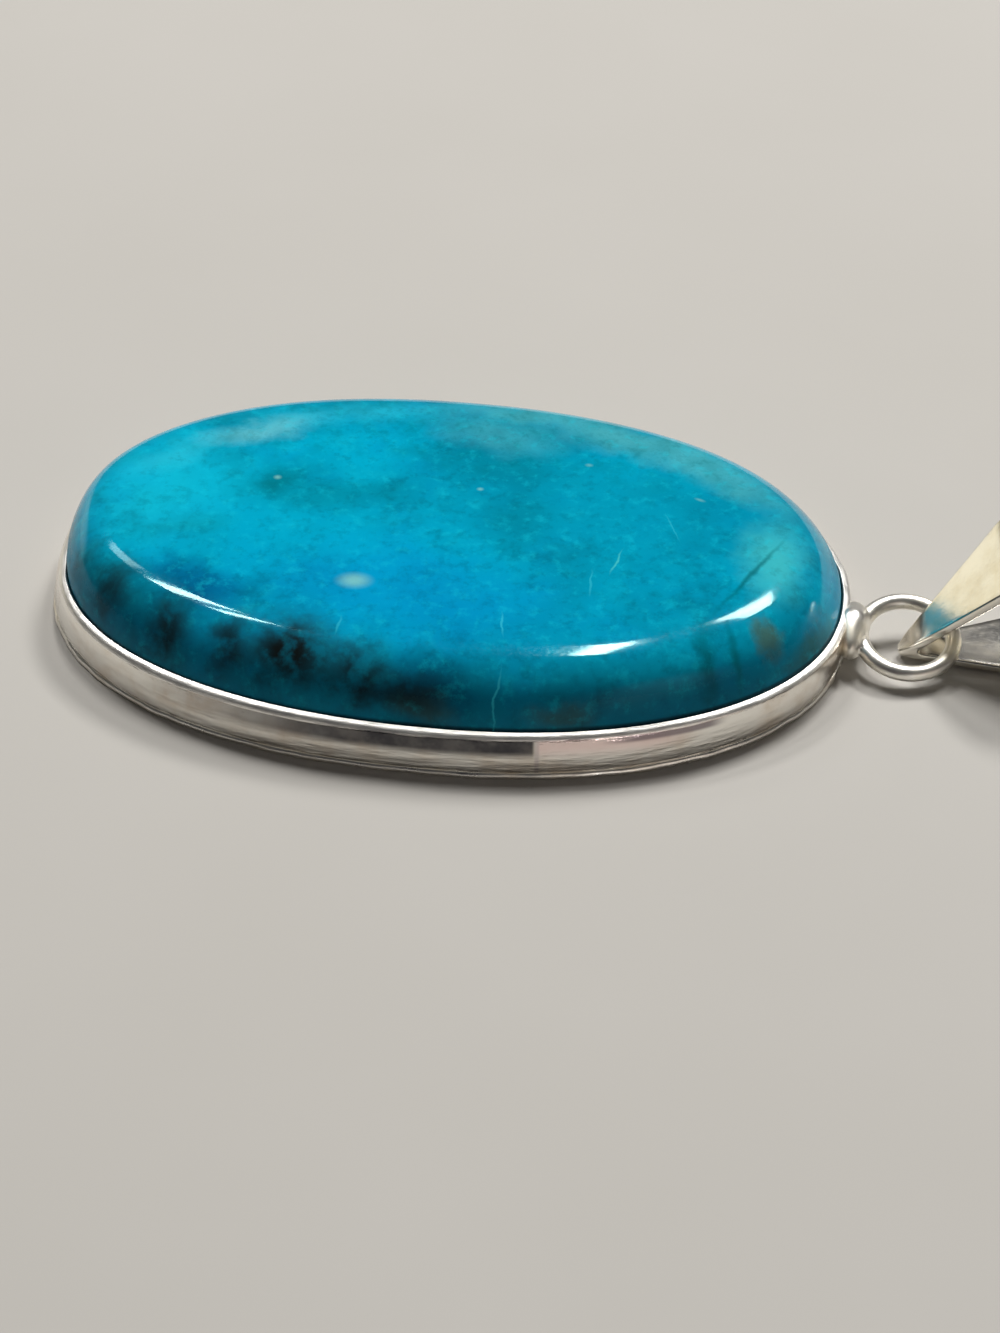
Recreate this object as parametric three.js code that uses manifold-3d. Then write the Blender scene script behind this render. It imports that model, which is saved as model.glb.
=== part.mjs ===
// A pendant lying on its back: a polished oval cabochon of chrysocolla in a plain silver setting, with a
// jump ring soldered to one end of the setting and a folded, tapering bail that swings on the ring.
// Millimetres. +X runs along the oval towards the ring, +Z out of the stone's face, and the origin is at
// the middle of the flat back.

import * as THREE from 'three';
import * as BufferGeometryUtils from 'three/addons/utils/BufferGeometryUtils.js';
import Module from 'manifold-3d';

const wasm = await Module();
wasm.setup();
const { Manifold, Mesh: SolidMesh } = wasm;

const rad = THREE.MathUtils.degToRad;

// The oval of the setting's outer wall
const HALF_LENGTH = 19.2;
const HALF_BREADTH = 12.43;
const OVAL_POWER = 2.18;
const OVAL_SEGMENTS = 96;
// Inside this radius the oval's ends are drawn in evenly to the centre
const CORE_RADIUS = 2.0;

// The back plate, a thin sheet that stands a little proud of the wall
const PLATE_THICKNESS = 0.34;
const PLATE_PROUD = 0.05;
const PLATE_EDGE_ROUND = 0.12;

// Neighbouring solids stay this far apart
const GAP = 0.04;

// The bezel's two faces, from its foot to its lip, as [inset from the outer wall, height]. The wall is
// upright at first, then leans in over the stone and ends in a thick rounded lip
const FOOT = PLATE_THICKNESS + GAP;
const BEZEL_OUTER = [
  [0, FOOT],
  [0, 1.5],
  [0.04, 1.8],
  [0.1, 2.03],
  [0.17, 2.18],
  [0.27, 2.29],
  [0.38, 2.36],
  [0.46, 2.39],
  [0.5, 2.35],
];
const BEZEL_INNER = [
  [0.34, FOOT],
  [0.34, 1.5],
  [0.38, 1.9],
  [0.44, 2.14],
  [0.5, 2.28],
];

// The stone: a girdle that follows the bezel, a rounded bevel and a nearly flat, slightly domed top
const GIRDLE = [
  [0.38, FOOT],
  [0.38, 1.47],
  [0.42, 1.87],
  [0.485, 2.12],
];
const BEVEL_INSET = 0.545;
const BEVEL_START = 2.27;
const BEVEL_HEIGHT = 3.06;
const BEVEL_WIDTH = 2.55;
// The first power rounds the bevel over into the top, the second rounds it down to the girdle
const BEVEL_TOP_POWER = 2.0;
const BEVEL_SIDE_POWER = 1.45;
const BEVEL_STEPS = 8;
const DOME_HEIGHT = 0.15;

// The setting and stone were shaped by hand, so they bend in and out a little. Each bend is its bearing
// round the oval from +X, how far it spreads round the oval, and its size, inwards or upwards
const RIM_LEANS = [
  [rad(182), rad(25), 0.28],
  [rad(-8), rad(35), -0.25],
];
const CROWN_LEANS = [
  [rad(182), rad(35), -0.4],
  [rad(-8), rad(30), -0.3],
];
const RIM_RISES = [
  [rad(240), rad(30), 0.12],
];
// Nothing bends below the first height, the rim's bends are greatest at the second, and the crown's
// bends are reached at the third
const BEND_FOOT = 0.4;
const BEND_RIM = 2.3;
const BEND_CROWN = 5.0;

// The jump ring, leaning a little towards the near side
const RING_RADIUS = 2.2;
const RING_WIRE_RADIUS = 0.41;
const RING_CENTRE = new THREE.Vector3(22.12, -0.64, 1.3);
const RING_LEAN_X = rad(12);
const RING_LEAN_Y = rad(4);
const RING_SEGMENTS = 48;
const WIRE_SEGMENTS = 12;

// The lump of solder between the ring and the bezel
const SOLDER_CENTRE = new THREE.Vector3(19.5, -0.5, 1.4);
const SOLDER_HALF_SIZE = new THREE.Vector3(0.82, 1.8, 1.05);

// The bail: one strip of sheet folded round a loop, its narrow ends joined inside the ring
const SHEET_THICKNESS = 0.44;
const BAIL_HALF_OPENING = rad(25);
const BAIL_LOOP_RADIUS = 3.17;
const BAIL_DIP = rad(1.6);
const BAIL_TURN = rad(13);
const BAIL_TIP = new THREE.Vector3(21.93, -0.5, 0.44);
const JOINED_CORNER_RADIUS = 0.15;
const LOOP_SEGMENTS = 30;
const BAIL_TIP_HALF_WIDTH = 0.5;
const BAIL_TAPER = 0.326;
const BAIL_SHOULDER = 7.0;
const BAIL_HALF_WIDTH = 3.0;

const SILVER = '#c9c7c1';
const STONE = '#0f8fa8';

// Joins a surface's corners where they meet, so that it is one closed skin
function closed(geometry) {
  const bare = geometry.clone();
  bare.deleteAttribute('normal');
  bare.deleteAttribute('uv');
  return BufferGeometryUtils.mergeVertices(bare, 1e-5);
}

function toSolid(geometry) {
  const merged = closed(geometry);
  const mesh = new SolidMesh({
    numProp: 3,
    vertProperties: new Float32Array(merged.attributes.position.array),
    triVerts: new Uint32Array(merged.index.array),
  });
  mesh.merge();
  return new Manifold(mesh);
}

function fromSolid(solid) {
  const mesh = solid.getMesh();
  const geometry = new THREE.BufferGeometry();
  geometry.setAttribute('position', new THREE.BufferAttribute(mesh.vertProperties, 3));
  geometry.setIndex(new THREE.BufferAttribute(mesh.triVerts, 1));
  return geometry;
}

// The oval's half-length at a given half-breadth: even insets outside the core, drawn in to a point inside
function ovalHalfLength(radius) {
  const extra = HALF_LENGTH - HALF_BREADTH;
  if (radius >= CORE_RADIUS) return radius + extra;
  return (radius * (CORE_RADIUS + extra)) / CORE_RADIUS;
}

// The sum, at one bearing, of soft swellings at the given places
function swelling(bearing, places) {
  let sum = 0;
  for (const [middle, spread, size] of places) {
    const apart = Math.atan2(Math.sin(bearing - middle), Math.cos(bearing - middle));
    sum += size * Math.exp(-((apart / spread) ** 2));
  }
  return sum;
}

// How much of the rim's bends is felt at a height
function rimShare(height) {
  if (height < BEND_RIM) return Math.max(0, (height - BEND_FOOT) / (BEND_RIM - BEND_FOOT));
  return Math.max(0, (BEND_CROWN - height) / (BEND_CROWN - BEND_RIM));
}

function crownShare(height) {
  return THREE.MathUtils.clamp((height - BEND_RIM) / (BEND_CROWN - BEND_RIM), 0, 1);
}

// Reshapes a turned body from round to oval, with the bends of the rim and crown
function ovalise(geometry) {
  geometry.rotateX(Math.PI / 2);
  const position = geometry.attributes.position;
  for (let i = 0; i < position.count; i += 1) {
    const x = position.getX(i);
    const y = position.getY(i);
    const height = position.getZ(i);
    const radius = Math.hypot(x, y);
    if (radius < 1e-6) {
      position.setXY(i, 0, 0);
      continue;
    }
    const across = Math.sign(x) * Math.abs(x / radius) ** (2 / OVAL_POWER);
    const along = Math.sign(y) * Math.abs(y / radius) ** (2 / OVAL_POWER);
    const bearing = Math.atan2(y, x);
    const lean = swelling(bearing, RIM_LEANS) * rimShare(height)
      + swelling(bearing, CROWN_LEANS) * crownShare(height);
    const leant = radius - lean * (radius / HALF_BREADTH);
    const rise = swelling(bearing, RIM_RISES) * rimShare(height) * (radius / HALF_BREADTH);
    position.setXYZ(i, ovalHalfLength(leant) * across, leant * along, height + rise);
  }
  return geometry;
}

// A profile is a list of [inset from the outer wall, height]; 'centre' stands for the axis
function turned(profile) {
  const points = profile.map(([inset, height]) => {
    const radius = inset === 'centre' ? 0 : HALF_BREADTH - inset;
    return new THREE.Vector2(radius, height);
  });
  return ovalise(new THREE.LatheGeometry(points, OVAL_SEGMENTS));
}

function backPlate() {
  const edge = -PLATE_PROUD;
  return turned([
    ['centre', 0],
    [HALF_BREADTH - CORE_RADIUS, 0],
    [edge + PLATE_EDGE_ROUND, 0],
    [edge + PLATE_EDGE_ROUND * 0.3, PLATE_EDGE_ROUND * 0.3],
    [edge, PLATE_EDGE_ROUND],
    [edge, PLATE_THICKNESS - PLATE_EDGE_ROUND * 0.5],
    [edge + PLATE_EDGE_ROUND * 0.5, PLATE_THICKNESS],
    [HALF_BREADTH - CORE_RADIUS, PLATE_THICKNESS],
    ['centre', PLATE_THICKNESS],
  ]);
}

function bezel() {
  return turned([BEZEL_INNER[0], ...BEZEL_OUTER, ...BEZEL_INNER.toReversed()]);
}

function cabochon() {
  const profile = [
    ['centre', FOOT],
    [HALF_BREADTH - CORE_RADIUS, FOOT],
    ...GIRDLE,
  ];
  for (let step = 0; step <= BEVEL_STEPS; step += 1) {
    // Short steps where the bevel turns over into the top
    const share = 1 - (1 - step / BEVEL_STEPS) ** 1.15;
    const rise = (1 - (1 - share) ** BEVEL_TOP_POWER) ** (1 / BEVEL_SIDE_POWER);
    profile.push([BEVEL_INSET + BEVEL_WIDTH * share, BEVEL_START + BEVEL_HEIGHT * rise]);
  }
  const topRadius = HALF_BREADTH - BEVEL_INSET - BEVEL_WIDTH;
  for (const share of [0.8, 0.5, CORE_RADIUS / topRadius]) {
    profile.push([
      HALF_BREADTH - topRadius * share,
      BEVEL_START + BEVEL_HEIGHT + DOME_HEIGHT * (1 - share ** 2),
    ]);
  }
  profile.push(['centre', BEVEL_START + BEVEL_HEIGHT + DOME_HEIGHT]);
  return turned(profile);
}

function lump(centre, halfSize) {
  const ball = new THREE.SphereGeometry(1, 20, 12);
  ball.scale(halfSize.x, halfSize.y, halfSize.z);
  ball.translate(centre.x, centre.y, centre.z);
  return toSolid(ball);
}

function jumpRing() {
  const ring = new THREE.TorusGeometry(RING_RADIUS, RING_WIRE_RADIUS, WIRE_SEGMENTS, RING_SEGMENTS);
  ring.rotateX(RING_LEAN_X);
  ring.rotateY(RING_LEAN_Y);
  ring.translate(RING_CENTRE.x, RING_CENTRE.y, RING_CENTRE.z);
  const solder = lump(SOLDER_CENTRE, SOLDER_HALF_SIZE);
  // The room that the setting takes up, with the usual gap round it
  const room = turned([
    ['centre', -1],
    [-PLATE_PROUD - GAP, -1],
    ...BEZEL_OUTER.map(([inset, height]) => [inset - PLATE_PROUD - GAP, height > 1.5 ? height + GAP : height]),
    ['centre', BEZEL_OUTER.at(-1)[1] + GAP],
  ]);
  return fromSolid(toSolid(ring).add(solder).subtract(toSolid(room)));
}

// The side outline of the bail about its middle line, at one offset from the sheet's middle
function loopOutline(offset, cornerRadius, cornerCentre) {
  const points = [];
  const loopRadius = BAIL_LOOP_RADIUS + offset;
  const loopCentre = BAIL_LOOP_RADIUS / Math.sin(BAIL_HALF_OPENING);
  const swing = Math.PI / 2 + BAIL_HALF_OPENING;
  for (let step = 0; step <= LOOP_SEGMENTS; step += 1) {
    const turn = -swing + (2 * swing * step) / LOOP_SEGMENTS;
    points.push(new THREE.Vector2(
      loopCentre + loopRadius * Math.cos(turn),
      loopRadius * Math.sin(turn),
    ));
  }
  const cornerSteps = 6;
  const cornerSwing = Math.PI / 2 - BAIL_HALF_OPENING;
  for (let step = 0; step <= cornerSteps; step += 1) {
    const turn = Math.PI - cornerSwing + (2 * cornerSwing * step) / cornerSteps;
    points.push(new THREE.Vector2(
      cornerCentre + cornerRadius * Math.cos(turn),
      cornerRadius * Math.sin(turn),
    ));
  }
  return points;
}

function bail() {
  const half = SHEET_THICKNESS / 2;
  const side = new THREE.Shape(loopOutline(half, half, 0));
  const joinedEnd = (JOINED_CORNER_RADIUS + half) / Math.sin(BAIL_HALF_OPENING);
  side.holes.push(new THREE.Path(loopOutline(-half, JOINED_CORNER_RADIUS, joinedEnd)));
  const folded = new THREE.ExtrudeGeometry(side, {
    depth: 2 * BAIL_HALF_WIDTH + 2,
    bevelEnabled: false,
  });
  folded.translate(0, 0, -BAIL_HALF_WIDTH - 1);
  folded.rotateX(Math.PI / 2);

  const end = BAIL_LOOP_RADIUS / Math.sin(BAIL_HALF_OPENING) + BAIL_LOOP_RADIUS + 1;
  const edge = [
    [-half - 0.01, BAIL_TIP_HALF_WIDTH * 0.45],
    [-half * 0.6, BAIL_TIP_HALF_WIDTH * 0.78],
    [0.1, BAIL_TIP_HALF_WIDTH],
    [BAIL_SHOULDER, BAIL_TIP_HALF_WIDTH + BAIL_TAPER * (BAIL_SHOULDER - 0.1)],
    [BAIL_SHOULDER + 1.0, BAIL_HALF_WIDTH - 0.03],
    [BAIL_SHOULDER + 2.2, BAIL_HALF_WIDTH],
    [end, BAIL_HALF_WIDTH],
  ];
  const front = new THREE.Shape([
    ...edge.map(([x, y]) => new THREE.Vector2(x, -y)),
    ...edge.map(([x, y]) => new THREE.Vector2(x, y)).reverse(),
  ]);
  const depth = 2 * BAIL_LOOP_RADIUS + 4;
  const outline = new THREE.ExtrudeGeometry(front, { depth, bevelEnabled: false });
  outline.translate(0, 0, -depth / 2);

  const geometry = fromSolid(toSolid(folded).intersect(toSolid(outline)));
  geometry.rotateY(BAIL_DIP - BAIL_HALF_OPENING);
  geometry.rotateZ(BAIL_TURN);
  geometry.translate(BAIL_TIP.x, BAIL_TIP.y, BAIL_TIP.z);
  return geometry;
}

function named(name, geometry, colour, metalness, roughness) {
  const material = new THREE.MeshStandardMaterial({ color: colour, metalness, roughness });
  material.name = name;
  const mesh = new THREE.Mesh(closed(geometry), material);
  mesh.name = name;
  return mesh;
}

const pendant = new THREE.Group();
pendant.name = 'pendant';
pendant.add(named('back_plate', backPlate(), SILVER, 1.0, 0.35));
pendant.add(named('bezel', bezel(), SILVER, 1.0, 0.18));
pendant.add(named('cabochon', cabochon(), STONE, 0.0, 0.12));
pendant.add(named('jump_ring', jumpRing(), SILVER, 1.0, 0.2));
pendant.add(named('bail', bail(), SILVER, 1.0, 0.2));

export default pendant;
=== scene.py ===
import math

import bmesh
import bpy
import numpy as np
from mathutils import Matrix, Vector


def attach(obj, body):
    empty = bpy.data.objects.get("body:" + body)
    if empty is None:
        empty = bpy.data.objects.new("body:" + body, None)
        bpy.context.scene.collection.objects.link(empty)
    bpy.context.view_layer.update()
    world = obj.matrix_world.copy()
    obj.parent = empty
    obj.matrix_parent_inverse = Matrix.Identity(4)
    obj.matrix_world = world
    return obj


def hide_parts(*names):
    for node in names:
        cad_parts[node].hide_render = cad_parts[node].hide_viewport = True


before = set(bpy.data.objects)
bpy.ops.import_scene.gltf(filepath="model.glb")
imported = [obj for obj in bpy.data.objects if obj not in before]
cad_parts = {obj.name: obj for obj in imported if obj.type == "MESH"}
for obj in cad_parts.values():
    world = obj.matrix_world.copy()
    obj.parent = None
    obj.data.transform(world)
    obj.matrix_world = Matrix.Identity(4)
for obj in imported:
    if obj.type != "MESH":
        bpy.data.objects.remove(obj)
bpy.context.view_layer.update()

# Lengths are in millimetres in the row frame, and become metres only when a mesh or camera is made
MM = 0.001

# The oval of the setting's outer wall
HALF_LENGTH = 19.2
HALF_BREADTH = 12.43
OVAL_POWER = 2.18
# Inside this half-breadth the rings shrink to a point, so that the middle has no ridge
CORE_RADIUS = 2.0
ROUND_STEPS = 320

# Back plate: its edge stands a little proud of the wall
PLATE_THICKNESS = 0.34
PLATE_PROUD = 0.07
# The plate's rounded edge from below to above, as (distance in from its outermost line, height)
PLATE_EDGE = [
    (0.3, 0.0), (0.12, 0.0), (0.05, 0.02), (0.01, 0.06), (0.0, 0.1),
    (0.01, 0.17), (0.035, 0.25), (0.08, 0.31), (0.14, 0.34), (0.3, 0.34),
]

# Bezel and stone stand on the plate
GAP = 0.04
FOOT = PLATE_THICKNESS + GAP
# The bezel's outer and inner faces from foot to lip, and the stone's girdle, as (inset, height)
BEZEL_OUTER = [
    (0, FOOT), (0, 1.0), (0.01, 1.5), (0.035, 1.8), (0.07, 2.0), (0.11, 2.14),
    (0.17, 2.24), (0.26, 2.31), (0.37, 2.355), (0.46, 2.385), (0.5, 2.35),
]
BEZEL_INNER = [(0.34, FOOT), (0.34, 1.5), (0.38, 1.9), (0.44, 2.14), (0.5, 2.28)]
BEZEL_CURVE_STEPS = 5
GIRDLE = [(0.38, FOOT), (0.38, 1.47), (0.42, 1.87), (0.485, 2.12)]

# The stone's bevel rises from the lip to the crown, where the slightly domed top begins
BEVEL_INSET = 0.545
BEVEL_START = 2.27
BEVEL_HEIGHT = 3.06
BEVEL_WIDTH = 2.55
BEVEL_TOP_POWER = 2.0
BEVEL_SIDE_POWER = 1.45
DOME_HEIGHT = 0.15
# How far the crown between bevel and top is rounded
CROWN_ROUNDING = 1.0
# Rings of the stone's mesh: over the underside, up the bevel, and over the top, closest by the crown
UNDERSIDE_SHARES = (0.0, 0.16, 0.6, 0.97)
BEVEL_SHARES = np.linspace(1, 0, 41) ** 1.2
TOP_SHARES = [*np.linspace(0.99, 0.84, 16), *np.linspace(0.8, 0, 17)]

# Bends of the hand-made setting and stone: bearing round the oval from +X, spread, size inwards or upwards
RIM_LEANS = [
    (math.radians(182), math.radians(25), 0.28),
    (math.radians(-8), math.radians(35), -0.25),
]
CROWN_LEANS = [
    (math.radians(182), math.radians(35), -0.4),
    (math.radians(-8), math.radians(30), -0.3),
    (math.radians(303), math.radians(14), -0.2),
]
RIM_RISES = [(math.radians(240), math.radians(30), 0.12)]
# Heights where the bends start, where the rim's are greatest, and where the crown's are reached
BEND_FOOT, BEND_RIM, BEND_CROWN = 0.4, 2.3, 5.0

# Hand-made irregularities round the oval, as (how many waves, size, phase)
BEVEL_WANDER = [(2, 0.05, 0.4), (3, 0.04, 2.1), (5, 0.025, 1.0), (9, 0.012, 4.0)]
LIP_WANDER = [(4, 0.012, 0.3), (7, 0.012, 1.7), (13, 0.012, 0.5), (29, 0.008, 2.2), (47, 0.006, 5.0)]
WALL_WANDER = [(3, 0.012, 1.1), (6, 0.010, 2.0), (11, 0.006, 0.2), (23, 0.003, 1.0)]
PLATE_WANDER = [(5, 0.0168, 0.3), (17, 0.014, 1.0), (31, 0.014, 2.0), (53, 0.0112, 0.7), (71, 0.0084, 3.0)]
# Between these heights the wall's irregularity gives way to the lip's
WANDER_CHANGE = (1.4, 2.3)

# Jump ring
RING_RADIUS = 2.2
RING_WIRE_RADIUS = 0.41
RING_CENTRE = (22.12, -0.64, 1.3)
RING_LEAN_X = math.radians(12)
RING_LEAN_Y = math.radians(4)
RING_STEPS = 120
WIRE_STEPS = 28
# The wire is a little thinner than in the solid, so that it stays clear of the bail as that swings
WIRE_SHARE = 0.94
WIRE_WANDER = [(3, 0.008, 1), (7, 0.006, 0)]

# The solder between ring and setting, and its unevenness as (size, waves along y, waves along z)
SOLDER_CENTRE = (19.5, -0.5, 1.4)
SOLDER_HALF_SIZE = (0.82, 1.8, 1.05)
SOLDER_SWELLS = [(0.05, 4.1, 2.0), (0.02, 9, -5)]
# Size of the remesh that runs ring and solder together, and how often it is relaxed
FUSE_VOXEL = 0.05
FUSE_RELAX_STEPS = 14

# Bail
SHEET_THICKNESS = 0.44
SHEET_EDGE_ROUND = 0.13
BAIL_HALF_OPENING = math.radians(25)
BAIL_LOOP_RADIUS = 3.17
BAIL_DIP = math.radians(1.6)
BAIL_TURN = math.radians(13)
BAIL_TIP = (21.93, -0.5, 0.44)
JOINED_CORNER_RADIUS = 0.15
# Its width along the middle line: a rounded tip, then a taper that runs softly into parallel sides
BAIL_TIP_START = -SHEET_THICKNESS / 2 - 0.02
BAIL_TIP_LENGTH = 0.35
BAIL_TIP_SHARE = 0.35
BAIL_TIP_HALF_WIDTH = 0.5
BAIL_TAPER_START = 0.1
BAIL_TAPER = 0.326
BAIL_HALF_WIDTH = 3.0
BAIL_WIDTH_BLEND = 0.18
# The strip was bent by hand: (size, waves along x, waves along y, phase) of its unevenness, which starts
# at the first distance from the tip and is full at the second, so that the tip turns freely in the ring
BAIL_UNEVENNESS = [(0.02, 0.9, 0.7, 1.0), (0.012, -1.3, 2.1, 0.0)]
BAIL_UNEVEN_FROM = (3.0, 6.0)
LOOP_STEPS, CORNER_STEPS, LEAF_STEPS = 90, 15, 42
SHEET_EDGE_STEPS, SHEET_ACROSS_STEPS = 6, 15

# The camera, fitted to the outlines in the photograph
CAMERA_PITCH = math.radians(39.07)
CAMERA_YAW = math.radians(8.39)
CAMERA_ROLL = math.radians(0.19)
CAMERA_DISTANCE = 169.6
CAMERA_SIDE = -2.5
CAMERA_RISE = 2.88
CAMERA_NEAREST = 5
FOCAL_PIXELS = 3500
IMAGE_HEIGHT_PIXELS = 1333
SENSOR_MM = 36

# The floor reaches this far each way
FLOOR_HALF_SIZE = 600


# Camera

def camera_axes():
    """The camera's right, up and backward directions in the row frame."""
    level = math.cos(CAMERA_PITCH)
    back = Vector((math.sin(CAMERA_YAW) * level, -math.cos(CAMERA_YAW) * level, math.sin(CAMERA_PITCH)))
    right = Vector((math.cos(CAMERA_YAW), math.sin(CAMERA_YAW), 0))
    up = back.cross(right)
    turned_right = right * math.cos(CAMERA_ROLL) + up * math.sin(CAMERA_ROLL)
    turned_up = up * math.cos(CAMERA_ROLL) - right * math.sin(CAMERA_ROLL)
    return turned_right, turned_up, back


def make_camera():
    right, up, back = camera_axes()
    eye = (back * CAMERA_DISTANCE - right * CAMERA_SIDE - up * CAMERA_RISE) * MM
    data = bpy.data.cameras.new("camera")
    data.sensor_width = SENSOR_MM
    data.lens = FOCAL_PIXELS * SENSOR_MM / IMAGE_HEIGHT_PIXELS
    data.clip_start = CAMERA_NEAREST * MM
    camera = bpy.data.objects.new("camera", data)
    matrix = Matrix((right, up, back)).transposed().to_4x4()
    matrix.translation = eye
    camera.matrix_world = matrix
    bpy.context.scene.collection.objects.link(camera)
    bpy.context.scene.camera = camera


# Meshes

def make_object(name, verts_mm, faces, smooth=True):
    """A new object from points in millimetres, with doubled points merged and faces turned outwards."""
    mesh = bpy.data.meshes.new(name)
    mesh.from_pydata([tuple(float(c) * MM for c in v) for v in verts_mm], [], faces)
    bm = bmesh.new()
    bm.from_mesh(mesh)
    bmesh.ops.remove_doubles(bm, verts=bm.verts, dist=1e-7)
    bmesh.ops.recalc_face_normals(bm, faces=bm.faces)
    bm.to_mesh(mesh)
    bm.free()
    mesh.polygons.foreach_set("use_smooth", [smooth] * len(mesh.polygons))
    obj = bpy.data.objects.new(name, mesh)
    bpy.context.scene.collection.objects.link(obj)
    return obj


def waves(angle, terms):
    """A smooth irregularity round the oval: a sum of (how many waves, size, phase)."""
    return sum(size * np.sin(count * angle + phase) for count, size, phase in terms)


def swelling(angle, places):
    """The sum of soft swellings at the given places round the oval."""
    total = np.zeros_like(angle)
    for middle, spread, size in places:
        apart = np.arctan2(np.sin(angle - middle), np.cos(angle - middle))
        total += size * np.exp(-(apart / spread) ** 2)
    return total


def oval_points(radius, height, angle):
    """Points of the oval at half-breadth radius, which may be one number or one for each angle."""
    height = np.broadcast_to(height, angle.shape)
    rim = np.interp(height, (BEND_FOOT, BEND_RIM, BEND_CROWN), (0, 1, 0))
    crown = np.interp(height, (BEND_RIM, BEND_CROWN), (0, 1))
    share = radius / HALF_BREADTH
    lean = swelling(angle, RIM_LEANS) * rim + swelling(angle, CROWN_LEANS) * crown
    height = height + swelling(angle, RIM_RISES) * rim * share
    radius = np.broadcast_to(radius - lean * share, angle.shape)
    cos, sin = np.cos(angle), np.sin(angle)
    across = np.sign(cos) * np.abs(cos) ** (2 / OVAL_POWER)
    along = np.sign(sin) * np.abs(sin) ** (2 / OVAL_POWER)
    extra = HALF_LENGTH - HALF_BREADTH
    shrunk = radius * (CORE_RADIUS + extra) / CORE_RADIUS
    half_length = np.where(radius >= CORE_RADIUS, radius + extra, shrunk)
    return np.stack([half_length * across, radius * along, height], 1)


def smooth_profile(points, steps):
    """A rounded line through the points, by Catmull-Rom curves between them."""
    points = np.array([points[0], *points, points[-1]], float)
    line = []
    for before, start, end, after in zip(points, points[1:], points[2:], points[3:]):
        slope = end - before
        bend = 2 * before - 5 * start + 4 * end - after
        twist = 3 * start - before - 3 * end + after
        for t in np.linspace(0, 1, steps, endpoint=False):
            line.append(0.5 * (2 * start + slope * t + bend * t ** 2 + twist * t ** 3))
    line.append(points[-1])
    return line


def turned_mesh(rings):
    """Joins a list of equally long rings of points into quads. The last ring is not joined to the first."""
    verts = np.concatenate(rings)
    count = len(rings[0])
    faces = []
    for row in range(len(rings) - 1):
        for i in range(count):
            j = (i + 1) % count
            low, high = row * count, (row + 1) * count
            faces.append((low + i, low + j, high + j, high + i))
    return verts, faces


ROUND = np.linspace(0, 2 * math.pi, ROUND_STEPS, endpoint=False)


def rounded(outward):
    """A distance out from the crown's line, kept above zero and eased in so that the crown is rounded."""
    return (outward + np.sqrt(outward ** 2 + CROWN_ROUNDING ** 2)) / 2


def bevel_height(outward, width):
    """Height over the start of the bevel, at a distance out from the crown's line."""
    share = np.clip(rounded(outward) / rounded(width), 0, 1)
    return BEVEL_HEIGHT * (1 - share ** BEVEL_TOP_POWER) ** (1 / BEVEL_SIDE_POWER)


def make_stone():
    # The bevel was ground by hand, so its width wanders
    width = BEVEL_WIDTH + waves(ROUND, BEVEL_WANDER)
    side = HALF_BREADTH - GIRDLE[0][0]
    rings = [oval_points(share * side, FOOT, ROUND) for share in UNDERSIDE_SHARES]
    rings += [oval_points(HALF_BREADTH - inset, height, ROUND) for inset, height in GIRDLE]
    crown_radius = HALF_BREADTH - BEVEL_INSET - width
    for share in BEVEL_SHARES:
        outward = width * share
        rings.append(oval_points(crown_radius + outward, BEVEL_START + bevel_height(outward, width), ROUND))
    for share in TOP_SHARES:
        outward = crown_radius * (share - 1)
        height = BEVEL_START + bevel_height(outward, width) + DOME_HEIGHT * (1 - share ** 2)
        rings.append(oval_points(crown_radius * share, height, ROUND))
    verts, faces = turned_mesh(rings)
    return make_object("stone", verts, faces)


def make_bezel():
    """One band: up its outer face, over the lip and down its inner face."""
    lip_wander = waves(ROUND, LIP_WANDER)
    wall_wander = waves(ROUND, WALL_WANDER)
    rings = [oval_points(HALF_BREADTH - BEZEL_INNER[0][0], FOOT, ROUND)]
    for inset, height in smooth_profile(BEZEL_OUTER, BEZEL_CURVE_STEPS):
        share = np.interp(height, WANDER_CHANGE, (0, 1))
        radius = HALF_BREADTH - inset + wall_wander * (1 - share) + lip_wander * share
        rings.append(oval_points(radius, height + lip_wander * share, ROUND))
    for inset, height in BEZEL_INNER[::-1]:
        rings.append(oval_points(HALF_BREADTH - inset, height, ROUND))
    verts, faces = turned_mesh(rings)
    return make_object("bezel_band", verts, faces)


def make_back_plate():
    edge = HALF_BREADTH + PLATE_PROUD + waves(ROUND, PLATE_WANDER)
    rings = [oval_points(0.0, 0.0, ROUND), oval_points(CORE_RADIUS, 0.0, ROUND)]
    rings += [oval_points(edge - inset, height, ROUND) for inset, height in PLATE_EDGE]
    rings += [oval_points(radius, PLATE_THICKNESS, ROUND) for radius in (CORE_RADIUS, 0.0)]
    verts, faces = turned_mesh(rings)
    return make_object("back_sheet", verts, faces)


def apply_modifiers(obj):
    depsgraph = bpy.context.evaluated_depsgraph_get()
    mesh = bpy.data.meshes.new_from_object(obj.evaluated_get(depsgraph))
    obj.modifiers.clear()
    obj.data = mesh


def make_solder():
    """A melted lump, which is not quite even."""
    ball = bmesh.new()
    bmesh.ops.create_icosphere(ball, subdivisions=4, radius=1)
    for vert in ball.verts:
        x, y, z = vert.co
        swell = 1 + sum(size * math.sin(by_y * y + by_z * z) for size, by_y, by_z in SOLDER_SWELLS)
        sides = zip(SOLDER_CENTRE, SOLDER_HALF_SIZE, (x, y, z))
        vert.co = [(middle + half * c * swell) * MM for middle, half, c in sides]
    mesh = bpy.data.meshes.new("solder")
    ball.to_mesh(mesh)
    ball.free()
    lump = bpy.data.objects.new("solder", mesh)
    bpy.context.scene.collection.objects.link(lump)
    return lump


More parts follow.
